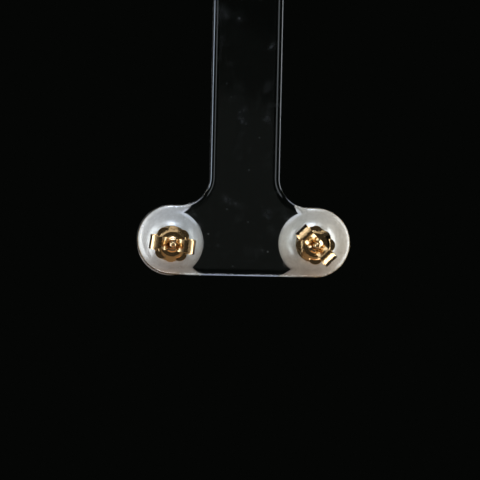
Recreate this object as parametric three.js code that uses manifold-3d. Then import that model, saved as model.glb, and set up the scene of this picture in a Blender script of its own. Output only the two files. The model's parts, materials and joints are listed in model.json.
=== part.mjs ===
// A pair of pearl stud earrings on a clear hanging display stand.
// Millimetres, +Z up. The origin is the middle of the stand's hanging hole. The stand is a flat
// sheet in the XZ plane: the pearls sit behind it (+Y), the butterfly clutches in front (-Y).
import * as THREE from 'three';
import { mergeVertices } from 'three/addons/utils/BufferGeometryUtils.js';
import Module from 'manifold-3d';

const wasm = await Module();
wasm.setup();

// Display stand: one clear acrylic sheet cut as an upside-down T with round ends.
const SHEET = 5;                 // thickness
const SHOULDER_WIDTH = 0.85;     // the polished edge is a quarter ellipse on each face:
const SHOULDER_DEPTH = 0.45;     // this wide on the face and this deep on the wall
const BAR_LENGTH = 25.4;
const BAR_HEIGHT = 8.3;
const STEM_WIDTH = 8.3;
const STEM_FILLET_R = 3.4;       // inside corner between stem and bar
const STEM_CORNER_R = 2;         // outside corners of the stem's cut end
const STAND_HEIGHT = 41.1;
const HANGING_HOLE_R = 1.75;
const POST_HOLE_R = 0.95;

// Stud: a half-drilled pearl glued on a peg, in one soldered piece with its cup and post.
const PEARL_R = 4;
const DRILL_R = 0.5;
const DRILL_DEPTH = 3.6;
const POST_R = 0.4;
const POST_LENGTH = 9.5;         // from the back of the cup to the tip
const POST_TIP_R = 0.2;          // rounding of the tip
const NOTCH_FROM_TIP = 1.6;
const NOTCH_DEPTH = 0.06;
const NOTCH_WIDTH = 0.7;
const NOTCH_SLOPE = 0.2;         // of its width, at each end
const CUP_R = 2.15;              // outer radius of its rim
const CUP_WALL = 0.3;
const CUP_FOOT_R = 0.8;          // where the solder meets the back of the cup
const PEG_LENGTH = 3.2;
const GLUE_GAP = 0.05;           // cup to pearl
const SEAT_GAP = 0.1;            // cup or clutch to the acrylic sheet

// Butterfly clutch: one stamped strip, a scalloped plate whose two ends roll up to grip the post.
const STRIP = 0.22;              // thickness of the sheet metal
const PLATE_R = 1.7;             // the plate's disc, without its petals
const PETAL_R = 0.85;            // radius of each petal's round end
const CORNER_PETAL_REACH = 1.48; // from the bore to the middle of that round end
const CORNER_PETAL_DEG = 45;     // between each of these four and the strip's length
const SIDE_PETAL_REACH = 1.28;   // the same for the two petals across the strip,
const SIDE_PETAL_LIFT = 0.12;    // which stay as high as the raised middle
const CLUTCH_BORE_R = 0.47;
const CLUTCH_LENGTH = 5.5;       // over both rolls
const EAR_WIDTH_OUTER = 1.85;
const EAR_WIDTH_INNER = 1.35;
const ROLL_CLEAR = 0.05;         // roll to post
const EAR_END_DEG = 205;         // how far round the strip is rolled, from the outermost point
const EAR_ROOT = 0.4;            // how far from the bore the two ends of the strip begin
// The collar pierced up round the bore and the raised middle of the plate: radius on the plate,
// height over its back.
const PRESSED_PROFILE = [
  { r: CLUTCH_BORE_R, height: 0.78 },
  { r: 0.56, height: 0.84 },
  { r: 0.72, height: 0.74 },
  { r: 0.9, height: 0.55 },
  { r: 1.08, height: 0.39 },
  { r: 1.22, height: 0.34 },
  { r: 1.45, height: 0.34 },
  { r: 1.65, height: STRIP },
];
const WELD = 0.02;               // depth by which joined solids overlap
// The posts hang under the middles of their holes, resting at different heights.
const STUDS = [
  { side: 'left', x: -1, drop: 0.5, clutchTurnDeg: 6.8 },
  { side: 'right', x: 1, drop: 0.28, clutchTurnDeg: 45 },
];

// Facets: round a pearl, round a post or a clutch's rings, and along each curve of an outline.
const PEARL_FACETS = 36;
const TURNED_FACETS = 24;
const OUTLINE_FACETS = 8;
const SHOULDER_FACETS = 3;
const CUP_FACETS = 4;
const PETAL_FACETS = 20;
const ROLL_FACETS = 10;

const CUTTER_LENGTH = 6;         // longer than anything that it drills through

const TOP_Z = STEM_WIDTH / 2;
const LOBE_R = BAR_HEIGHT / 2;
const LOBE_Z = TOP_Z - STAND_HEIGHT + LOBE_R;
const LOBE_X = BAR_LENGTH / 2 - LOBE_R;
const FACE_Y = SHEET / 2;

const finish = {
  acrylic: { color: 0xe8f0f2, roughness: 0.05, metalness: 0, transparent: true, opacity: 0.35 },
  nacre: { color: 0xcfcabd, roughness: 0.25, metalness: 0 },
  gold: { color: 0xd9b26a, roughness: 0.2, metalness: 1 },
};

function namedMesh(name, geometry, look) {
  const mesh = new THREE.Mesh(geometry, new THREE.MeshStandardMaterial(look));
  mesh.name = name;
  return mesh;
}

function toSolid(geometry) {
  const bare = geometry.clone();
  bare.deleteAttribute('normal');
  bare.deleteAttribute('uv');
  const merged = mergeVertices(bare, 1e-5);
  const vertProperties = new Float32Array(merged.attributes.position.array);
  const triVerts = new Uint32Array(merged.index.array);
  return new wasm.Manifold(new wasm.Mesh({ numProp: 3, vertProperties, triVerts }));
}

function toGeometry(solid) {
  const { vertProperties, triVerts } = solid.getMesh();
  const geometry = new THREE.BufferGeometry();
  geometry.setAttribute('position', new THREE.BufferAttribute(vertProperties, 3));
  geometry.setIndex(new THREE.BufferAttribute(triVerts, 1));
  geometry.computeVertexNormals();
  return geometry;
}

// The sheet's outline, drawn in X and Z with a soft shoulder on both faces, and its three holes.
function displayStand() {
  const half = STEM_WIDTH / 2;
  const barTop = LOBE_Z + LOBE_R;
  const barBottom = LOBE_Z - LOBE_R;
  const outline = new THREE.Shape();
  outline.moveTo(-LOBE_X, barBottom);
  outline.lineTo(LOBE_X, barBottom);
  outline.absarc(LOBE_X, LOBE_Z, LOBE_R, -Math.PI / 2, Math.PI / 2, false);
  outline.lineTo(half + STEM_FILLET_R, barTop);
  outline.absarc(half + STEM_FILLET_R, barTop + STEM_FILLET_R, STEM_FILLET_R,
    -Math.PI / 2, -Math.PI, true);
  outline.lineTo(half, TOP_Z - STEM_CORNER_R);
  outline.absarc(half - STEM_CORNER_R, TOP_Z - STEM_CORNER_R, STEM_CORNER_R,
    0, Math.PI / 2, false);
  outline.lineTo(STEM_CORNER_R - half, TOP_Z);
  outline.absarc(STEM_CORNER_R - half, TOP_Z - STEM_CORNER_R, STEM_CORNER_R,
    Math.PI / 2, Math.PI, false);
  outline.lineTo(-half, barTop + STEM_FILLET_R);
  outline.absarc(-half - STEM_FILLET_R, barTop + STEM_FILLET_R, STEM_FILLET_R,
    0, -Math.PI / 2, true);
  outline.lineTo(-LOBE_X, barTop);
  outline.absarc(-LOBE_X, LOBE_Z, LOBE_R, Math.PI / 2, 1.5 * Math.PI, false);

  const depth = SHEET - 2 * SHOULDER_DEPTH;
  const geometry = new THREE.ExtrudeGeometry(outline, {
    depth,
    curveSegments: OUTLINE_FACETS,
    bevelEnabled: true,
    bevelThickness: SHOULDER_DEPTH,
    bevelSize: SHOULDER_WIDTH,
    bevelOffset: -SHOULDER_WIDTH,
    bevelSegments: SHOULDER_FACETS,
  });
  geometry.translate(0, 0, -depth / 2);
  geometry.rotateX(Math.PI / 2);
  let solid = toSolid(geometry);
  for (const { x, z, r } of [
    { x: 0, z: 0, r: HANGING_HOLE_R },
    { x: -LOBE_X, z: LOBE_Z, r: POST_HOLE_R },
    { x: LOBE_X, z: LOBE_Z, r: POST_HOLE_R },
  ]) {
    const drill = new THREE.CylinderGeometry(r, r, CUTTER_LENGTH, TURNED_FACETS);
    solid = solid.subtract(toSolid(drill.translate(x, 0, z)));
  }
  return namedMesh('display_stand', toGeometry(solid), finish.acrylic);
}

const CUP_BACK_Y = FACE_Y + SEAT_GAP;
const PEARL_Y = CUP_BACK_Y + CUP_WALL + GLUE_GAP + PEARL_R;

// Points on a circle about the stud's axis, from one angle to another, measured at the pearl's
// middle from the direction of the sheet.
function arcAboutPearl(radius, fromDeg, toDeg, steps) {
  const points = [];
  for (let i = 0; i <= steps; i++) {
    const angle = THREE.MathUtils.degToRad(fromDeg + ((toDeg - fromDeg) * i) / steps);
    points.push(new THREE.Vector2(radius * Math.sin(angle), PEARL_Y - radius * Math.cos(angle)));
  }
  return points;
}

function degreesAt(radius, fromAxis) {
  return THREE.MathUtils.radToDeg(Math.asin(fromAxis / radius));
}

// A ball turned about Y with the blind hole that the peg is glued in.
function pearl(side) {
  const mouth = degreesAt(PEARL_R, DRILL_R);
  const hole = PEARL_Y - PEARL_R + DRILL_DEPTH;
  const profile = [
    new THREE.Vector2(0, hole),
    new THREE.Vector2(DRILL_R, hole),
    ...arcAboutPearl(PEARL_R, mouth, 90, PEARL_FACETS / 4),
    ...arcAboutPearl(PEARL_R, 90, 180, PEARL_FACETS / 4).slice(1),
  ];
  profile[profile.length - 1].x = 0;
  return namedMesh(`${side}_pearl`, new THREE.LatheGeometry(profile, PEARL_FACETS), finish.nacre);
}

// The post with its notch, the dished cup and the peg, turned about Y in one profile.
function post(side) {
  const tip = CUP_BACK_Y - POST_LENGTH;
  const notch = tip + NOTCH_FROM_TIP;
  const seat = PEARL_R + GLUE_GAP;
  const cupRim = degreesAt(seat + CUP_WALL, CUP_R);
  const cupFoot = degreesAt(seat + CUP_WALL, CUP_FOOT_R);
  const pegFoot = degreesAt(seat, POST_R);
  const tipStep = POST_TIP_R * (1 - Math.SQRT1_2);
  const profile = [
    new THREE.Vector2(0, tip),
    new THREE.Vector2(POST_R - POST_TIP_R, tip),
    new THREE.Vector2(POST_R - tipStep, tip + tipStep),
    new THREE.Vector2(POST_R, tip + POST_TIP_R),
    new THREE.Vector2(POST_R, notch),
    new THREE.Vector2(POST_R - NOTCH_DEPTH, notch + NOTCH_WIDTH * NOTCH_SLOPE),
    new THREE.Vector2(POST_R - NOTCH_DEPTH, notch + NOTCH_WIDTH * (1 - NOTCH_SLOPE)),
    new THREE.Vector2(POST_R, notch + NOTCH_WIDTH),
    new THREE.Vector2(POST_R, CUP_BACK_Y),
    ...arcAboutPearl(seat + CUP_WALL, cupFoot, cupRim, CUP_FACETS),
    ...arcAboutPearl(seat, cupRim, pegFoot, CUP_FACETS),
    new THREE.Vector2(POST_R, CUP_BACK_Y + CUP_WALL + PEG_LENGTH),
    new THREE.Vector2(0, CUP_BACK_Y + CUP_WALL + PEG_LENGTH),
  ];
  return namedMesh(`${side}_post`, new THREE.LatheGeometry(profile, TURNED_FACETS), finish.gold);
}

// A disc of the strip's thickness, or a longer cutter for the bore, standing on the plate's back.
function disc(radius, depth, facets) {
  const geometry = new THREE.CylinderGeometry(radius, radius, depth, facets);
  return geometry.rotateX(Math.PI / 2).translate(0, 0, STRIP / 2);
}

// The plate: a disc ringed by four corner petals and two side petals.
function clutchPlate() {
  const petals = [];
  for (const side of [90, 270]) {
    petals.push({ deg: side, reach: SIDE_PETAL_REACH, lift: SIDE_PETAL_LIFT });
    for (const off of [CORNER_PETAL_DEG - 90, 90 - CORNER_PETAL_DEG]) {
      petals.push({ deg: side + off, reach: CORNER_PETAL_REACH, lift: 0 });
    }
  }
  let plate = toSolid(disc(PLATE_R, STRIP, TURNED_FACETS));
  for (const { deg, reach, lift } of petals) {
    const turn = THREE.MathUtils.degToRad(deg);
    const petal = disc(PETAL_R, STRIP, PETAL_FACETS);
    petal.translate(reach * Math.cos(turn), reach * Math.sin(turn), lift);
    plate = plate.add(toSolid(petal));
  }
  return plate;
}

// The collar and the raised middle of the plate, one closed profile turned about the bore.
function pressedMiddle() {
  const profile = [new THREE.Vector2(CLUTCH_BORE_R, WELD)];
  for (const point of PRESSED_PROFILE) profile.push(new THREE.Vector2(point.r, point.height));
  profile.push(new THREE.Vector2(PRESSED_PROFILE.at(-1).r, WELD));
  profile.push(profile[0].clone());
  const geometry = new THREE.LatheGeometry(profile.reverse(), TURNED_FACETS);
  geometry.rotateX(Math.PI / 2);
  return geometry;
}

// One end of the strip: out along the plate, up round the roll and back down beside the post.
// Drawn in length and height, given the strip's width, and tapered towards the post.
function clutchEar() {
  const outer = CLUTCH_LENGTH / 2;
  const inner = POST_R + ROLL_CLEAR;
  const rollR = (outer - inner) / 2;
  const rollX = (outer + inner) / 2;
  const end = THREE.MathUtils.degToRad(EAR_END_DEG);
  const outline = new THREE.Shape();
  outline.moveTo(CLUTCH_BORE_R + EAR_ROOT, 0);
  outline.lineTo(rollX, 0);
  outline.absarc(rollX, rollR, rollR, -Math.PI / 2, end, false);
  outline.absarc(rollX, rollR, rollR - STRIP, end, -Math.PI / 2, true);
  outline.lineTo(CLUTCH_BORE_R + EAR_ROOT, STRIP);
  const geometry = new THREE.ExtrudeGeometry(outline, {
    depth: EAR_WIDTH_OUTER,
    curveSegments: ROLL_FACETS,
    bevelEnabled: false,
  });
  geometry.translate(0, 0, -EAR_WIDTH_OUTER / 2);
  geometry.rotateX(Math.PI / 2);
  const at = geometry.attributes.position;
  for (let i = 0; i < at.count; i++) {
    const share = THREE.MathUtils.smoothstep(at.getX(i), inner, outer - STRIP * 2);
    const width = THREE.MathUtils.lerp(EAR_WIDTH_INNER, EAR_WIDTH_OUTER, share);
    at.setY(i, (at.getY(i) * width) / EAR_WIDTH_OUTER);
  }
  return geometry;
}

// Built with its back on Z = 0 and its long axis on X, then stood on the stand's front face.
function clutch(side, turnDeg) {
  const ear = clutchEar();
  const otherEar = ear.clone().rotateZ(Math.PI);
  let solid = clutchPlate();
  for (const geometry of [pressedMiddle(), ear, otherEar]) solid = solid.add(toSolid(geometry));
  solid = solid.subtract(toSolid(disc(CLUTCH_BORE_R, CUTTER_LENGTH, TURNED_FACETS)));
  const mesh = namedMesh(`${side}_clutch`, toGeometry(solid), finish.gold);
  mesh.rotation.x = Math.PI / 2;
  const turned = new THREE.Group();
  turned.rotation.y = THREE.MathUtils.degToRad(turnDeg);
  turned.position.y = -FACE_Y - SEAT_GAP;
  turned.add(mesh);
  return turned;
}

const earringsOnStand = new THREE.Group();
earringsOnStand.add(displayStand());
for (const { side, x, drop, clutchTurnDeg } of STUDS) {
  const stud = new THREE.Group();
  stud.position.set(x * LOBE_X, 0, LOBE_Z - drop);
  stud.add(pearl(side), post(side), clutch(side, clutchTurnDeg));
  earringsOnStand.add(stud);
}

export default earringsOnStand;
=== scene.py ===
import json
import math

import bmesh
import bpy
from mathutils import Euler, Matrix, Vector

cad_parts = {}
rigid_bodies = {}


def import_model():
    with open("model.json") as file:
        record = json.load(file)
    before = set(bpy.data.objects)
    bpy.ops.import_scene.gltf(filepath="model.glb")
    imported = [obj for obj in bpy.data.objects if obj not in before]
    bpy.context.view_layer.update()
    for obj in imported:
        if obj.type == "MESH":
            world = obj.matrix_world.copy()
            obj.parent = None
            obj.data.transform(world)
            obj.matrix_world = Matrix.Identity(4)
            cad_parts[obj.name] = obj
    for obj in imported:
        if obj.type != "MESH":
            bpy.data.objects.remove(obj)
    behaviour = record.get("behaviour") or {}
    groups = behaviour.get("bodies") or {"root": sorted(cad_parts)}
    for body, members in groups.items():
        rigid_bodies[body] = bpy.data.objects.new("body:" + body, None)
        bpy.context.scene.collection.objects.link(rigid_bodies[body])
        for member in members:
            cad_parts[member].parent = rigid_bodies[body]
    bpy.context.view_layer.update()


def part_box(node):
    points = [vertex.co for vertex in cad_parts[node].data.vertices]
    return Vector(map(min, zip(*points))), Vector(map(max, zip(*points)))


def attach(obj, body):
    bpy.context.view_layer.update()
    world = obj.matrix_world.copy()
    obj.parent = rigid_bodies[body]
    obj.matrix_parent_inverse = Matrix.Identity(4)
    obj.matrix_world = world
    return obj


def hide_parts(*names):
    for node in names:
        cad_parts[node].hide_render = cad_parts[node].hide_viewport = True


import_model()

# =============================================================================================
# Display stand
# One sheet of clear cast acrylic, cut as an upside-down T with round ends. Flame polishing has
# rounded its edges. The studs are pushed through a hole in each end of the bar, and the sheet
# hangs by the hole near the top of its stem.
# =============================================================================================

MM = 0.001

EDGE_WIDTH = 0.85 * MM
EDGE_DEPTH = 0.45 * MM
HOLE_CHAMFER = 0.12 * MM
BAR_HEIGHT = 8.3 * MM
STEM_WIDTH = 8.3 * MM
STEM_FILLET_R = 3.4 * MM
STEM_CORNER_R = 2.0 * MM
HANGING_HOLE_R = 1.75 * MM
POST_HOLE_R = 0.95 * MM
CORNER_SEGMENTS = 32
HOLE_SEGMENTS = 64
EDGE_STEPS = 12
FLAT_CAP_NORMAL = 0.99
WELD = 1e-6

stand_low, stand_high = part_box("display_stand")
LOBE_Z = stand_low.z + BAR_HEIGHT / 2
LOBE_X = stand_high.x - BAR_HEIGHT / 2


def linear(colour):
    """An sRGB hex colour such as "#c8b27d" as linear red, green and blue, with full alpha."""
    channels = [int(colour[i:i + 2], 16) / 255 for i in (1, 3, 5)]
    return [c / 12.92 if c < 0.04045 else ((c + 0.055) / 1.055) ** 2.4 for c in channels] + [1.0]


def add_node(tree, kind, settings=None, links=None):
    """Adds a shader node. Settings are its inputs, by name or number, or its properties."""
    node = tree.nodes.new(kind)
    for key, value in (settings or {}).items():
        if isinstance(key, int) or key in node.inputs:
            node.inputs[key].default_value = value
        else:
            setattr(node, key, value)
    for key, socket in (links or {}).items():
        tree.links.new(socket, node.inputs[key])
    return node


def new_material(name):
    """An empty node material, and its tree."""
    material = bpy.data.materials.new(name)
    material.use_nodes = True
    material.node_tree.nodes.clear()
    return material, material.node_tree


def write_piece(bm, name, material):
    """Makes the finished mesh an object at the origin, with one material."""
    mesh = bpy.data.meshes.new(name)
    bm.to_mesh(mesh)
    bm.free()
    mesh.materials.append(material)
    piece = bpy.data.objects.new(name, mesh)
    bpy.context.scene.collection.objects.link(piece)
    return piece


def sheet_outline(bm, y):
    """The upside-down T as one face at that depth, its corners rounded to the real radii."""
    half_stem = STEM_WIDTH / 2
    bar_top = stand_low.z + BAR_HEIGHT
    corners = [
        (stand_low.x, stand_low.z, BAR_HEIGHT / 2),
        (stand_high.x, stand_low.z, BAR_HEIGHT / 2),
        (stand_high.x, bar_top, BAR_HEIGHT / 2),
        (half_stem, bar_top, STEM_FILLET_R),
        (half_stem, stand_high.z, STEM_CORNER_R),
        (-half_stem, stand_high.z, STEM_CORNER_R),
        (-half_stem, bar_top, STEM_FILLET_R),
        (stand_low.x, bar_top, BAR_HEIGHT / 2),
    ]
    verts = [bm.verts.new((x, y, z)) for x, z, _ in corners]
    bm.faces.new(verts)
    for vert, (_, _, radius) in zip(verts, corners):
        bmesh.ops.bevel(bm, geom=[vert], offset=radius, offset_type="OFFSET",
                        segments=CORNER_SEGMENTS, profile=0.5, affect="VERTICES", material=-1,
                        clamp_overlap=False)
    bmesh.ops.remove_doubles(bm, verts=bm.verts, dist=WELD)


def round_rim(bm, cap):
    """Carries a flat cap in and out along a quarter ellipse, so that its rim is rounded."""
    for step in range(EDGE_STEPS):
        before = math.pi / 2 * step / EDGE_STEPS
        after = math.pi / 2 * (step + 1) / EDGE_STEPS
        bmesh.ops.inset_region(
            bm, faces=[cap], use_boundary=True, use_even_offset=True,
            thickness=EDGE_WIDTH * (math.cos(before) - math.cos(after)),
            depth=EDGE_DEPTH * (math.sin(after) - math.sin(before)))


def circle_edges(bm, x, y, z, radius):
    """The edges of a circle in the plane of the sheet."""
    place = Matrix.Translation((x, y, z)) @ Matrix.Rotation(math.pi / 2, 4, "X")
    verts = bmesh.ops.create_circle(bm, cap_ends=False, segments=HOLE_SEGMENTS, radius=radius,
                                    matrix=place)["verts"]
    return list({edge for vert in verts for edge in vert.link_edges})


def stand_mesh():
    """The outline extruded to the sheet's thickness and rounded, then its three holes."""
    bm = bmesh.new()
    sheet_outline(bm, stand_low.y + EDGE_DEPTH)
    grown = bmesh.ops.extrude_face_region(bm, geom=bm.faces[:])["geom"]
    moved = [item for item in grown if isinstance(item, bmesh.types.BMVert)]
    bmesh.ops.translate(bm, verts=moved, vec=(0, stand_high.y - stand_low.y - 2 * EDGE_DEPTH, 0))
    bmesh.ops.recalc_face_normals(bm, faces=bm.faces)
    caps = [face for face in bm.faces if abs(face.normal.y) > FLAT_CAP_NORMAL]
    for cap in caps:
        round_rim(bm, cap)
    rims = {stand_low.y: [], stand_high.y: []}
    for cap, y in zip(sorted(caps, key=lambda face: face.calc_center_median().y), rims):
        rims[y] += cap.edges[:]
    bmesh.ops.delete(bm, geom=caps, context="FACES_ONLY")
    for x, z, radius in [(0.0, 0.0, HANGING_HOLE_R), (-LOBE_X, LOBE_Z, POST_HOLE_R),
                         (LOBE_X, LOBE_Z, POST_HOLE_R)]:
        wide = radius + HOLE_CHAMFER
        front = circle_edges(bm, x, stand_low.y, z, wide)
        front_bore = circle_edges(bm, x, stand_low.y + HOLE_CHAMFER, z, radius)
        back_bore = circle_edges(bm, x, stand_high.y - HOLE_CHAMFER, z, radius)
        back = circle_edges(bm, x, stand_high.y, z, wide)
        for first, second in ((front, front_bore), (front_bore, back_bore), (back_bore, back)):
            bmesh.ops.bridge_loops(bm, edges=first + second)
        rims[stand_low.y] += front
        rims[stand_high.y] += back
    for face in bm.faces:
        face.smooth = True
    for edges in rims.values():
        filled = bmesh.ops.triangle_fill(bm, use_beauty=True, use_dissolve=False, edges=edges)
        for item in filled["geom"]:
            if isinstance(item, bmesh.types.BMFace):
                item.smooth = False
    bmesh.ops.recalc_face_normals(bm, faces=bm.faces)
    return bm


# Cast acrylic (PMMA), flame polished: water clear, with a faint cool tint. Its mirror smooth
# faces carry a few matt smudges from handling and specks of dust, and they wave very slightly
# where the flame softened them. Shadow rays go straight through, as it casts hardly a shadow.
SMUDGE_SIZE = 3 * MM
SMUDGE_SHIFT = (-1.15 * MM, 0, -3.5 * MM)
DUST_SPACING = 1.8 * MM
FLAME_WAVE = 6 * MM


def clear_acrylic():
    material, tree = new_material("cast_acrylic_flame_polished")
    where = add_node(tree, "ShaderNodeTexCoord")
    handled = add_node(tree, "ShaderNodeMapping", {"Location": SMUDGE_SHIFT},
                       {"Vector": where.outputs["Object"]})
    smudges = add_node(tree, "ShaderNodeTexNoise",
                       {"Scale": 1 / SMUDGE_SIZE, "Detail": 5.0, "Roughness": 0.62},
                       {"Vector": handled.outputs["Vector"]})
    matt = add_node(tree, "ShaderNodeMapRange",
                    {"From Min": 0.55, "From Max": 0.75, "To Min": 0.04, "To Max": 0.4},
                    {"Value": smudges.outputs["Fac"]})
    dust = add_node(tree, "ShaderNodeTexVoronoi", {"Scale": 1 / DUST_SPACING},
                    {"Vector": where.outputs["Object"]})
    specks = add_node(tree, "ShaderNodeMapRange",
                      {"From Min": 0.03, "From Max": 0.08, "To Min": 0.5, "To Max": 0.0},
                      {"Value": dust.outputs["Distance"]})
    marked = add_node(tree, "ShaderNodeMath", {"operation": "MAXIMUM"},
                      {0: matt.outputs["Result"], 1: specks.outputs["Result"]})
    waves = add_node(tree, "ShaderNodeTexNoise", {"Scale": 1 / FLAME_WAVE, "Detail": 2.0},
                     {"Vector": where.outputs["Object"]})
    bump = add_node(tree, "ShaderNodeBump", {"Strength": 0.006, "Distance": 0.05 * MM},
                    {"Height": waves.outputs["Fac"]})
    body = add_node(tree, "ShaderNodeBsdfPrincipled",
                    {"Base Color": linear("#f6fbfb"), "Transmission Weight": 1.0, "IOR": 1.49},
                    {"Roughness": marked.outputs["Value"], "Normal": bump.outputs["Normal"]})
    through = add_node(tree, "ShaderNodeBsdfTransparent", {"Color": linear("#f1f6f6")})
    path = add_node(tree, "ShaderNodeLightPath")
    mixed = add_node(tree, "ShaderNodeMixShader", {},
                     {0: path.outputs["Is Shadow Ray"], 1: body.outputs["BSDF"],
                      2: through.outputs["BSDF"]})
    add_node(tree, "ShaderNodeOutputMaterial", {}, {"Surface": mixed.outputs["Shader"]})
    return material


stand = write_piece(stand_mesh(), "acrylic_stand", clear_acrylic())
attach(stand, "stand_and_studs")
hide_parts("display_stand")

# =============================================================================================
# Pearls
# Round cultured pearls, half drilled: each is glued on the peg that stands in its stud's cup.
# =============================================================================================

DRILL_R = 0.5 * MM
DRILL_DEPTH = 3.6 * MM
DRILL_CHAMFER = 0.06 * MM
TURNED_STEPS = 128
PEARL_ARC_STEPS = 64
FINE_WELD = 1e-7


def arc_points(centre_y, radius, from_deg, to_deg, steps):
    """Radius and depth of points on a circle about the axis, counted from the stand's side."""
    points = []
    for i in range(steps + 1):
        angle = math.radians(from_deg + (to_deg - from_deg) * i / steps)
        points.append((radius * math.sin(angle), centre_y - radius * math.cos(angle)))
    return points


def turned(profile, x, z):
    """A profile of radius and depth turned about the line along Y through x and z."""
    bm = bmesh.new()
    verts = [bm.verts.new((x + radius, y, z)) for radius, y in profile]
    for first, second in zip(verts, verts[1:]):
        bm.edges.new((first, second))
    bmesh.ops.spin(bm, geom=bm.verts[:] + bm.edges[:], cent=(x, 0, z), axis=(0, 1, 0),
                   dvec=(0, 0, 0), angle=2 * math.pi, steps=TURNED_STEPS, use_merge=True)
    bmesh.ops.remove_doubles(bm, verts=bm.verts, dist=FINE_WELD)
    bmesh.ops.recalc_face_normals(bm, faces=bm.faces)
    for face in bm.faces:
        face.smooth = True
    return bm


def pearl_mesh(node):
    """A ball with the blind hole for its peg, its mouth chamfered by the drill."""
    low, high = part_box(node)
    radius = (high.x - low.x) / 2
    centre_y = high.y - radius
    mouth = math.degrees(math.asin((DRILL_R + DRILL_CHAMFER) / radius))
    pole = centre_y - radius
    profile = [(0, pole + DRILL_DEPTH), (DRILL_R, pole + DRILL_DEPTH),
               (DRILL_R, pole + 2 * DRILL_CHAMFER)]
    profile += arc_points(centre_y, radius, mouth, 180, PEARL_ARC_STEPS)
    return turned(profile, (low.x + high.x) / 2, (low.z + high.z) / 2)


# Nacre, grown in thin layers and polished: a satin body colour mottled with its overtone, a
# milky broad sheen under a sharper skin, and a fine grain from the edges of its layers. The
# grain is drawn coarser than the real one, which is too fine to show.
NACRE_MOTTLE = 0.5 * MM
NACRE_GRAIN = 0.16 * MM
NACRE_RELIEF = 0.012 * MM


def nacre(name, body_colour, overtone, skin_roughness):
    material, tree = new_material(name)
    where = add_node(tree, "ShaderNodeTexCoord")
    clouds = add_node(tree, "ShaderNodeTexNoise",
                      {"Scale": 1 / NACRE_MOTTLE, "Detail": 5.0, "Roughness": 0.85},
                      {"Vector": where.outputs["Object"]})
    mottle = add_node(tree, "ShaderNodeMapRange", {"From Min": 0.35, "From Max": 0.65},
                      {"Value": clouds.outputs["Fac"]})
    colour = add_node(tree, "ShaderNodeMix",
                      {"data_type": "RGBA", 6: linear(body_colour), 7: linear(overtone)},
                      {0: mottle.outputs["Result"]})
    grain = add_node(tree, "ShaderNodeTexNoise",
                     {"Scale": 1 / NACRE_GRAIN, "Detail": 4.0, "Roughness": 0.6},
                     {"Vector": where.outputs["Object"]})
    bump = add_node(tree, "ShaderNodeBump", {"Strength": 0.25, "Distance": NACRE_RELIEF},
                    {"Height": grain.outputs["Fac"]})
    rough = add_node(tree, "ShaderNodeMapRange",
                     {"From Min": 0.3, "From Max": 0.7, "To Min": 0.3, "To Max": 0.42},
                     {"Value": grain.outputs["Fac"]})
    body = add_node(tree, "ShaderNodeBsdfPrincipled",
                    {"IOR": 1.62, "Coat Weight": 1.0, "Coat Roughness": skin_roughness,
                     "Coat IOR": 1.9, "Sheen Weight": 0.1},
                    {"Base Color": colour.outputs[2], "Roughness": rough.outputs["Result"],
                     "Normal": bump.outputs["Normal"]})
    add_node(tree, "ShaderNodeOutputMaterial", {}, {"Surface": body.outputs["BSDF"]})
    return material


PEARLS = {
    "left": nacre("nacre_silver_white", "#dedad5", "#c4bfba", 0.24),
    "right": nacre("nacre_cream", "#dfd5c6", "#c4b8a8", 0.2),
}
for side, material in PEARLS.items():
    pearl = write_piece(pearl_mesh(f"{side}_pearl"), f"{side}_nacre_pearl", material)
    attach(pearl, "stand_and_studs")
    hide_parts(f"{side}_pearl")

# =============================================================================================
# Posts
# Each is drawn gold wire with a rounded tip and a notch that the clutch snaps into, soldered to
# a dished cup. The wire goes on through the cup as the peg inside the pearl.
# =============================================================================================

POST_R = 0.4 * MM
POST_TIP_R = 0.38 * MM
NOTCH_FROM_TIP = 1.6 * MM
NOTCH_WIDTH = 0.7 * MM
NOTCH_DEPTH = 0.06 * MM
CUP_WALL = 0.3 * MM
CUP_RIM_R = 0.1 * MM
SOLDER_FILLET = 0.35 * MM
SOLDER_FILLET_DEPTH = 0.5    # as a share of how far it spreads
GLUE_GAP = 0.05 * MM
PEG_CHAMFER = 0.1 * MM
ROUND_STEPS = 8
NOTCH_STEPS = 12
CUP_BACK_STEPS = 16
CUP_DISH_STEPS = 12


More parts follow.
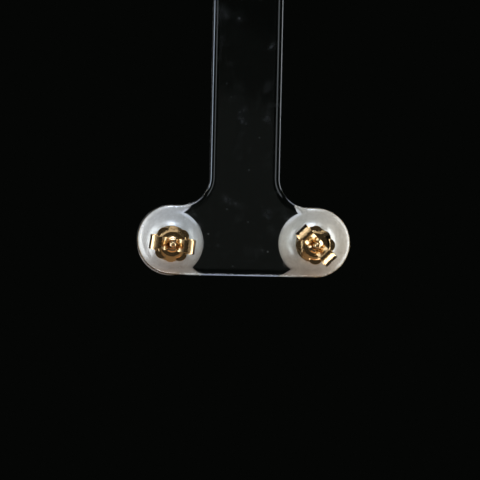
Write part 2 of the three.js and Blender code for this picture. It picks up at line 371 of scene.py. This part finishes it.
def post_mesh(side):
    """Post, solder fillet, cup and peg in one profile, from the tip to the peg's end."""
    low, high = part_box(f"{side}_post")
    pearl_low, pearl_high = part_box(f"{side}_pearl")
    pearl_r = (pearl_high.x - pearl_low.x) / 2
    centre_y = pearl_high.y - pearl_r
    inner = pearl_r + GLUE_GAP
    outer = inner + CUP_WALL
    cup_back = centre_y - outer
    cup_r = (high.x - low.x) / 2
    rim = math.degrees(math.asin((cup_r - CUP_RIM_R) / outer))
    profile = [(0, low.y)]
    for i in range(ROUND_STEPS + 1):
        turn = math.pi / 2 * i / ROUND_STEPS
        profile.append((POST_R - POST_TIP_R * (1 - math.sin(turn)),
                        low.y + POST_TIP_R * (1 - math.cos(turn))))
    notch = low.y + NOTCH_FROM_TIP
    for i in range(NOTCH_STEPS + 1):
        share = i / NOTCH_STEPS
        depth = NOTCH_DEPTH * math.sin(math.pi * share) ** 2
        profile.append((POST_R - depth, notch + NOTCH_WIDTH * share))
    for i in range(ROUND_STEPS + 1):
        turn = math.pi / 2 * i / ROUND_STEPS
        profile.append((POST_R + SOLDER_FILLET * (1 - math.cos(turn)),
                        cup_back - SOLDER_FILLET * SOLDER_FILLET_DEPTH * (1 - math.sin(turn))
                        + outer - math.sqrt(outer ** 2 - (POST_R + SOLDER_FILLET) ** 2)))
    start = math.degrees(math.asin((POST_R + SOLDER_FILLET) / outer))
    profile += arc_points(centre_y, outer, start, rim, CUP_BACK_STEPS)[1:]
    lip = math.degrees(math.asin((cup_r - CUP_RIM_R) / inner))
    rim_in = arc_points(centre_y, inner, lip, lip, 1)[0]
    rim_out = profile[-1]
    middle = ((rim_in[0] + rim_out[0]) / 2, (rim_in[1] + rim_out[1]) / 2)
    half = Vector(rim_out) - Vector(middle)
    out = Vector((-half.y, half.x)).normalized() * CUP_RIM_R
    if out.x < 0:
        out = -out
    for i in range(1, ROUND_STEPS):
        turn = math.pi * i / ROUND_STEPS
        point = Vector(middle) + half * math.cos(turn) + out * math.sin(turn)
        profile.append(tuple(point))
    foot = math.degrees(math.asin(POST_R / inner))
    profile += arc_points(centre_y, inner, lip, foot, CUP_DISH_STEPS)
    profile += [(POST_R, high.y - PEG_CHAMFER), (POST_R - PEG_CHAMFER, high.y), (0, high.y)]
    return turned(profile, (low.x + high.x) / 2, (low.z + high.z) / 2)


# 18 carat yellow gold, drawn or stamped and then barrel polished: a warm mirror in two close
# tones, softened by the shallow dents of tumbling and by a haze that varies along fine
# scratches. The scratches are drawn coarser than the real ones, which are too fine to show.
TUMBLING_DENT = 0.35 * MM
SCRATCH_WIDTH = 0.25 * MM
SCRATCH_STRETCH = (1, 1, 6)


def yellow_gold(name, haze, dent_depth):
    material, tree = new_material(name)
    where = add_node(tree, "ShaderNodeTexCoord")
    tumbling = add_node(tree, "ShaderNodeTexNoise",
                        {"Scale": 1 / TUMBLING_DENT, "Detail": 6.0, "Roughness": 0.6},
                        {"Vector": where.outputs["Object"]})
    stretched = add_node(tree, "ShaderNodeMapping", {"Scale": SCRATCH_STRETCH},
                         {"Vector": where.outputs["Object"]})
    scratches = add_node(tree, "ShaderNodeTexNoise",
                         {"Scale": 1 / SCRATCH_WIDTH, "Detail": 4.0, "Roughness": 0.7},
                         {"Vector": stretched.outputs["Vector"]})
    colour = add_node(tree, "ShaderNodeMix",
                      {"data_type": "RGBA", 6: linear("#dcc49c"), 7: linear("#d2b182")},
                      {0: tumbling.outputs["Fac"]})
    rough = add_node(tree, "ShaderNodeMapRange",
                     {"From Min": 0.3, "From Max": 0.7, "To Min": haze * 0.7,
                      "To Max": haze * 1.3},
                     {"Value": scratches.outputs["Fac"]})
    bump = add_node(tree, "ShaderNodeBump", {"Strength": 0.5, "Distance": dent_depth},
                    {"Height": tumbling.outputs["Fac"]})
    body = add_node(tree, "ShaderNodeBsdfPrincipled", {"Metallic": 1.0},
                    {"Base Color": colour.outputs[2], "Roughness": rough.outputs["Result"],
                     "Normal": bump.outputs["Normal"]})
    add_node(tree, "ShaderNodeOutputMaterial", {}, {"Surface": body.outputs["BSDF"]})
    return material


drawn_gold = yellow_gold("yellow_gold_drawn_polished", haze=0.2, dent_depth=0.006 * MM)
for side in PEARLS:
    post = write_piece(post_mesh(side), f"{side}_gold_post", drawn_gold)
    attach(post, "stand_and_studs")
    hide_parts(f"{side}_post")

# =============================================================================================
# Butterfly clutches
# Each is one strip of gold sheet. Its middle is stamped as a scalloped plate with pressed rings
# round the bore, and its two ends are rolled up and in, so that they grip the post from both
# sides. It slides along the post and stays by friction.
# =============================================================================================

SHEET_GOLD = 0.22 * MM
BORE_R = 0.47 * MM
PETAL_R = 0.85 * MM
CORNER_PETAL_REACH = 1.48 * MM
SIDE_PETAL_REACH = 1.28 * MM
PETAL_ROOT_R = 1.65 * MM
PLATE_R = 2.1 * MM
COLLAR_TOP_R = 0.22 * MM
COLLAR_FOOT_R = 1.0 * MM
COLLAR_HEIGHT = 0.48 * MM
MIDDLE_R = 1.45 * MM
MIDDLE_LIFT = 0.12 * MM
BAND_R = 1.66 * MM
BAND_SLOPE = 0.3
SIDE_PETAL_SLOPE = 0.17
PLATE_STEPS = 124
PLATE_RINGS = 44
EAR_STEPS = 9                # of the plate's steps to each side of the long axis
EAR_HALF_WIDTH = 0.93 * MM
EAR_END_WIDTH = 0.73         # as a share of its width at the plate
EAR_END_DEG = 205
STRIP_STEPS = 48
CLUTCH_LENGTH = 5.5 * MM
ROLL_CLEAR = 0.05 * MM
TUMBLED_EDGE = 0.04 * MM
TUMBLED_EDGE_DEG = 50
CLUTCH_TURN_DEG = {"left": 6.8, "right": 45.0}
SIDE_PETAL_HALF_DEG = 20.5

# Six petals, one every 45 degrees but for the two places where the strip leaves the plate.
PETALS = [(math.pi / 4 * k, SIDE_PETAL_REACH if k in (2, 6) else CORNER_PETAL_REACH)
          for k in (1, 2, 3, 5, 6, 7)]
roll_r = (CLUTCH_LENGTH / 2 - POST_R - ROLL_CLEAR - SHEET_GOLD) / 2
roll_x = CLUTCH_LENGTH / 2 - SHEET_GOLD / 2 - roll_r
mid_height = SHEET_GOLD / 2


def ease(value, start, end):
    """A smooth step from 0 at the start to 1 at the end."""
    share = min(max((value - start) / (end - start), 0.0), 1.0)
    return share * share * (3 - 2 * share)


def stamped_height(radius, angle):
    """The sheet's middle over the back: a collar round the bore, a raised middle, then petals.
    The corner petals and the strip lie low and flat, and the two side petals slope from above."""
    collar = COLLAR_HEIGHT * (1 - ease(radius, COLLAR_TOP_R, COLLAR_FOOT_R))
    if abs(math.sin(angle)) > math.sin(math.radians(90 - SIDE_PETAL_HALF_DEG)):
        lift = MIDDLE_LIFT - SIDE_PETAL_SLOPE * max(radius - MIDDLE_R, 0)
    elif radius < BAND_R:
        lift = MIDDLE_LIFT - BAND_SLOPE * max(radius - MIDDLE_R, 0)
    else:
        lift = 0
    return mid_height + collar + lift


def petal_edge(angle):
    """How far the scalloped outline reaches in that direction."""
    edge = PETAL_ROOT_R
    for turn, reach in PETALS:
        across = reach * math.sin(angle - turn)
        along = reach * math.cos(angle - turn)
        if abs(across) < PETAL_R and along > 0:
            edge = max(edge, along + math.sqrt(PETAL_R ** 2 - across ** 2))
    return edge


def clutch_blank():
    """The stamped blank, flat but for its pressed rings, with the ends of the strip straight."""
    bm = bmesh.new()
    verts = []
    for i in range(PLATE_RINGS + 1):
        verts.append(bm.verts.new((BORE_R + (PLATE_R - BORE_R) * i / PLATE_RINGS, 0, 0)))
    for first, second in zip(verts, verts[1:]):
        bm.edges.new((first, second))
    bmesh.ops.spin(bm, geom=bm.verts[:] + bm.edges[:], cent=(0, 0, 0), axis=(0, 0, 1),
                   dvec=(0, 0, 0), angle=2 * math.pi, steps=PLATE_STEPS, use_merge=True)
    bmesh.ops.remove_doubles(bm, verts=bm.verts, dist=FINE_WELD)

    root = 2 * math.pi * EAR_STEPS / PLATE_STEPS
    past_root = 2 * math.pi * (EAR_STEPS + 0.2) / PLATE_STEPS
    ear_x = petal_edge(root) * math.cos(root)
    for vert in bm.verts:
        radius = math.hypot(vert.co.x, vert.co.y)
        angle = math.atan2(vert.co.y, vert.co.x)
        vert.co.z = stamped_height(radius, angle)
        if radius < PETAL_ROOT_R:
            continue
        from_axis = abs((angle + math.pi / 2) % math.pi - math.pi / 2)
        edge = petal_edge(angle)
        if from_axis < past_root:
            edge = ear_x / math.cos(from_axis)
        share = (radius - PETAL_ROOT_R) / (PLATE_R - PETAL_ROOT_R)
        reach = PETAL_ROOT_R + (edge - PETAL_ROOT_R) * share
        vert.co.x *= reach / radius
        vert.co.y *= reach / radius

    length = math.radians(EAR_END_DEG + 90) * roll_r - (ear_x - roll_x)
    for sign in (-1, 1):
        edges = [edge for edge in bm.edges if edge.is_boundary
                 and all(abs(vert.co.x * sign - ear_x) < WELD for vert in edge.verts)]
        for step in range(STRIP_STEPS):
            grown = bmesh.ops.extrude_edge_only(bm, edges=edges)["geom"]
            moved = [item for item in grown if isinstance(item, bmesh.types.BMVert)]
            edges = [item for item in grown if isinstance(item, bmesh.types.BMEdge)
                     and item.is_boundary and item.verts[0] in moved and item.verts[1] in moved]
            bmesh.ops.translate(bm, verts=moved, vec=(sign * length / STRIP_STEPS, 0, 0))
            taper = EAR_END_WIDTH ** (1 / STRIP_STEPS)
            bmesh.ops.scale(bm, verts=moved, vec=(1, taper, 1))
    return bm


def rolled(co):
    """Where a point of the flat blank goes when the ends are rolled up round their bars."""
    along = abs(co.x) - roll_x
    if along <= 0 or abs(co.y) > EAR_HALF_WIDTH:
        return co
    turn = along / roll_r
    lift = co.z - mid_height
    x = roll_x + (roll_r - lift) * math.sin(turn)
    z = mid_height + roll_r - (roll_r - lift) * math.cos(turn)
    return Vector((math.copysign(x, co.x), co.y, z))


def clutch_mesh(side):
    """The blank rolled up, then set on its post with its back to the stand."""
    back_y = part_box(f"{side}_clutch")[1].y
    post_low, post_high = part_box(f"{side}_post")
    bm = clutch_blank()
    for vert in bm.verts:
        vert.co = rolled(vert.co)
    bmesh.ops.recalc_face_normals(bm, faces=bm.faces)
    for face in bm.faces:
        face.smooth = True
    axis_x = (post_low.x + post_high.x) / 2
    axis_z = (post_low.z + post_high.z) / 2
    turn = Euler((math.pi / 2, math.radians(CLUTCH_TURN_DEG[side]), 0), "XYZ").to_matrix()
    bmesh.ops.transform(bm, verts=bm.verts, matrix=turn.to_4x4())
    bmesh.ops.translate(bm, verts=bm.verts, vec=(axis_x, back_y, axis_z))
    return bm


stamped_gold = yellow_gold("yellow_gold_stamped_tumbled", haze=0.1, dent_depth=0.05 * MM)
for side in PEARLS:
    clutch = write_piece(clutch_mesh(side), f"{side}_butterfly_clutch", stamped_gold)
    wall = clutch.modifiers.new("sheet_thickness", "SOLIDIFY")
    wall.thickness = SHEET_GOLD
    wall.offset = 0
    wall.use_even_offset = True
    edge = clutch.modifiers.new("tumbled_edges", "BEVEL")
    edge.width = TUMBLED_EDGE
    edge.segments = 2
    edge.limit_method = "ANGLE"
    edge.angle_limit = math.radians(TUMBLED_EDGE_DEG)
    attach(clutch, f"{side}_clutch")
    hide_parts(f"{side}_clutch")

# =============================================================================================
# Studio
# The stand hangs in a dark room over a plain pale floor, between soft boxes. Clear acrylic shows
# only by what its edges bend, so nothing pale stands behind it at the camera's height, and the
# lamps that draw its edges stand behind it, above, below and beside what the camera sees.
# =============================================================================================

FLOOR_DROP = 220 * MM
FLOOR_R = 1300 * MM
FLOOR_SEGMENTS = 96
PAPER_CLOUD = 50 / 3 * MM


def floor_mesh():
    """A plain round floor under the hanging stand."""
    bm = bmesh.new()
    bmesh.ops.create_circle(bm, cap_ends=True, segments=FLOOR_SEGMENTS, radius=FLOOR_R,
                            matrix=Matrix.Translation((0, 0, stand_low.z - FLOOR_DROP)))
    return bm


# Matt background paper: an even warm grey white, with its pulp's faint clouds.
def matt_paper():
    material, tree = new_material("matt_paper_floor")
    where = add_node(tree, "ShaderNodeTexCoord")
    pulp = add_node(tree, "ShaderNodeTexNoise", {"Scale": 1 / PAPER_CLOUD, "Detail": 3.0},
                    {"Vector": where.outputs["Object"]})
    tone = add_node(tree, "ShaderNodeMix",
                    {"data_type": "RGBA", 6: linear("#d8d5cf"), 7: linear("#cfccc6")},
                    {0: pulp.outputs["Fac"]})
    body = add_node(tree, "ShaderNodeBsdfPrincipled", {"Roughness": 0.85},
                    {"Base Color": tone.outputs[2]})
    add_node(tree, "ShaderNodeOutputMaterial", {}, {"Surface": body.outputs["BSDF"]})
    return material


write_piece(floor_mesh(), "studio_floor", matt_paper())


def light_group(name, *words):
    """The pieces whose names hold one of those words, for lamps that light them alone."""
    group = bpy.data.collections.new(name)
    for piece in bpy.context.scene.collection.objects:
        if any(word in piece.name for word in words):
            group.objects.link(piece)
    return group


# The sheet's edges and the studs are lit apart, as flags and black cards do it in a studio. Each
# clutch has cards of its own too, because the two are turned differently on their posts.
sheet_only = light_group("lit_by_edge_lamps", "stand")
studs_only = light_group("lit_by_stud_lamps", "pearl", "gold", "clutch", "floor")
gold_only = light_group("lit_by_gold_cards", "gold", "clutch")
left_clutch_only = light_group("lit_by_left_clutch_cards", "left_butterfly")
right_clutch_only = light_group("lit_by_right_clutch_cards", "right_butterfly")
right_pearl_only = light_group("lit_by_right_pearl_box", "right_nacre")


def soft_box(name, azimuth, elevation, distance, size, radiance, colour, tilt=0, lit=None):
    """An area light aimed at the bar of the stand, unseen by the camera itself. Angles are in
    degrees, 0 being the side of the post tips. Distance and size are in millimetres."""
    light = bpy.data.lights.new(name, "AREA")
    light.shape = "RECTANGLE"
    light.size, light.size_y = (side * MM for side in size)
    light.energy = radiance * math.pi * light.size * light.size_y
    light.color = linear(colour)[:3]
    lamp = bpy.data.objects.new(name, light)
    turn = math.radians(azimuth)
    lift = math.radians(elevation)
    away = Vector((math.sin(turn) * math.cos(lift), -math.cos(turn) * math.cos(lift),
                   math.sin(lift)))
    lamp.location = away * distance * MM + Vector((0, 0, LOBE_Z))
    lamp.rotation_mode = "QUATERNION"
    aim = (-away).to_track_quat("-Z", "Y")
    lamp.rotation_quaternion = aim @ Euler((0, 0, math.radians(tilt))).to_quaternion()
    lamp.visible_camera = False
    lamp.light_linking.receiver_collection = lit
    bpy.context.scene.collection.objects.link(lamp)


# Behind the sheet, for the lines along its edges.
soft_box("back_top", 177.4, 26, 200, (200, 36), 0.9, "#dfe6ff", lit=sheet_only)
soft_box("back_low", 177.4, -25, 200, (160, 36), 0.35, "#e8eeff", lit=sheet_only)
soft_box("back_right", 152.4, 4, 200, (34, 90), 0.5, "#dfeaff", lit=sheet_only)
soft_box("back_left", -157.6, 4, 200, (34, 90), 0.35, "#f2f2fb", lit=sheet_only)
soft_box("back_right_inner", 170.4, 5, 200, (9, 70), 0.08, "#f0f4fa", lit=sheet_only)
soft_box("back_left_inner", -175.6, 5, 200, (9, 70), 0.08, "#f0f4fa", lit=sheet_only)

# Beside and behind the studs, for the pearls.
soft_box("back_box", 180, 28, 200, (200, 95), 1.1, "#e4ebff", lit=studs_only)
soft_box("left_strip", -87, 4, 62, (12, 90), 4.8, "#f2f5fa", lit=studs_only)
soft_box("right_strip", 87, 4, 62, (12, 90), 5.8, "#f4f6fb", lit=studs_only)
soft_box("left_box", -74, 10, 62, (24, 90), 2.8, "#f6f8fc", lit=studs_only)
soft_box("right_box", 74, 4, 62, (24, 90), 2.8, "#f8f6f2", lit=studs_only)
soft_box("pearl_box", -79, 14, 80, (18, 120), 1.8, "#e4ecff", lit=right_pearl_only)

# In front of the right clutch, then of the left one, for their rolls and plates.
soft_box("upper_left_card", -50, 36, 90, (60, 60), 1.3, "#f6f8fc", lit=right_clutch_only)
soft_box("lower_right_card", 51, -37, 90, (68, 68), 4.0, "#fbf8f2", lit=right_clutch_only)
soft_box("middle_left_card", -34, 0, 90, (16, 30), 3.0, "#fbf8f2", lit=right_clutch_only)
soft_box("roll_left_card", -53, 2, 90, (42, 36), 0.56, "#fbf6ee", lit=left_clutch_only)
soft_box("roll_left_inner", -28, 2, 90, (16, 36), 0.22, "#fbf6ee", lit=left_clutch_only)
soft_box("roll_right_card", 56, 2, 90, (36, 36), 0.76, "#fbf6ee", lit=left_clutch_only)
soft_box("roll_right_inner", 32, 2, 90, (16, 36), 0.5, "#fbf6ee", lit=left_clutch_only)
soft_box("band_upper_card", 30, 27, 90, (24, 24), 0.2, "#fbf6ee", lit=left_clutch_only)
soft_box("band_lower_card", 30, -27, 90, (24, 24), 0.2, "#fbe6c8", lit=left_clutch_only)

# Above everything, then below the sheet's front and below the studs.
soft_box("top_box", 0, 77, 130, (150, 26), 3.0, "#f2f5fc")
soft_box("top_lamp", 0, 72, 120, (48, 20), 14.0, "#dfe8ff")
soft_box("low_front", 0, -64, 120, (150, 16), 9.0, "#e8ecf8", lit=sheet_only)
soft_box("low_warm", 0, -60, 120, (140, 60), 0.9, "#ffbc7c", lit=studs_only)

# Far in front: for the gold, then a faint even glow on the sheet's flat face.
soft_box("front_high", -14, 28, 300, (300, 140), 0.8, "#f4eee6", lit=gold_only)
soft_box("front_low", 0, -24, 300, (300, 140), 0.25, "#ffdcb4", lit=gold_only)
soft_box("front_fill", 0, 0, 560, (300, 200), 0.045, "#fff4e0", lit=gold_only)
soft_box("front_dim", 2, -3.1, 560, (200, 110), 0.04, "#f0f8f0", tilt=-20, lit=sheet_only)
soft_box("front_faint", 2, -1.5, 560, (200, 110), 0.015, "#f4f7f4", tilt=-30, lit=sheet_only)
soft_box("front_glow", 0, 3.4, 560, (200, 110), 0.004, "#eef4f0", tilt=10, lit=sheet_only)

world = bpy.data.worlds.new("dark_room")
world.use_nodes = True
world.node_tree.nodes["Background"].inputs["Color"].default_value = linear("#050605")
bpy.context.scene.world = world

# The camera is a long lens, a little to the left of the stand's axis and a little above the
# bar, rolled slightly as the stand hangs out of true.
CAMERA_DISTANCE = 450 * MM
CAMERA_AZIMUTH = math.radians(-2.58)
CAMERA_ELEVATION = math.radians(1.21)
CAMERA_ROLL = math.radians(1.23)
FRAME_WIDTH = 57.5 * MM
SENSOR_WIDTH = 36
AIM = Vector((-0.36 * MM, 0, LOBE_Z + 0.1 * MM))

camera_data = bpy.data.cameras.new("camera")
camera_data.sensor_width = SENSOR_WIDTH
camera_data.lens = camera_data.sensor_width * CAMERA_DISTANCE / FRAME_WIDTH
camera_data.clip_start = 10 * MM
camera_data.clip_end = 10
camera = bpy.data.objects.new("camera", camera_data)
back = Vector((math.sin(CAMERA_AZIMUTH) * math.cos(CAMERA_ELEVATION),
               -math.cos(CAMERA_AZIMUTH) * math.cos(CAMERA_ELEVATION),
               math.sin(CAMERA_ELEVATION)))
camera.location = AIM + back * CAMERA_DISTANCE
camera.rotation_mode = "QUATERNION"
level = (-back).to_track_quat("-Z", "Y")
camera.rotation_quaternion = level @ Euler((0, 0, CAMERA_ROLL)).to_quaternion()
bpy.context.scene.collection.objects.link(camera)
bpy.context.scene.camera = camera
bpy.context.scene.view_settings.view_transform = "Standard"
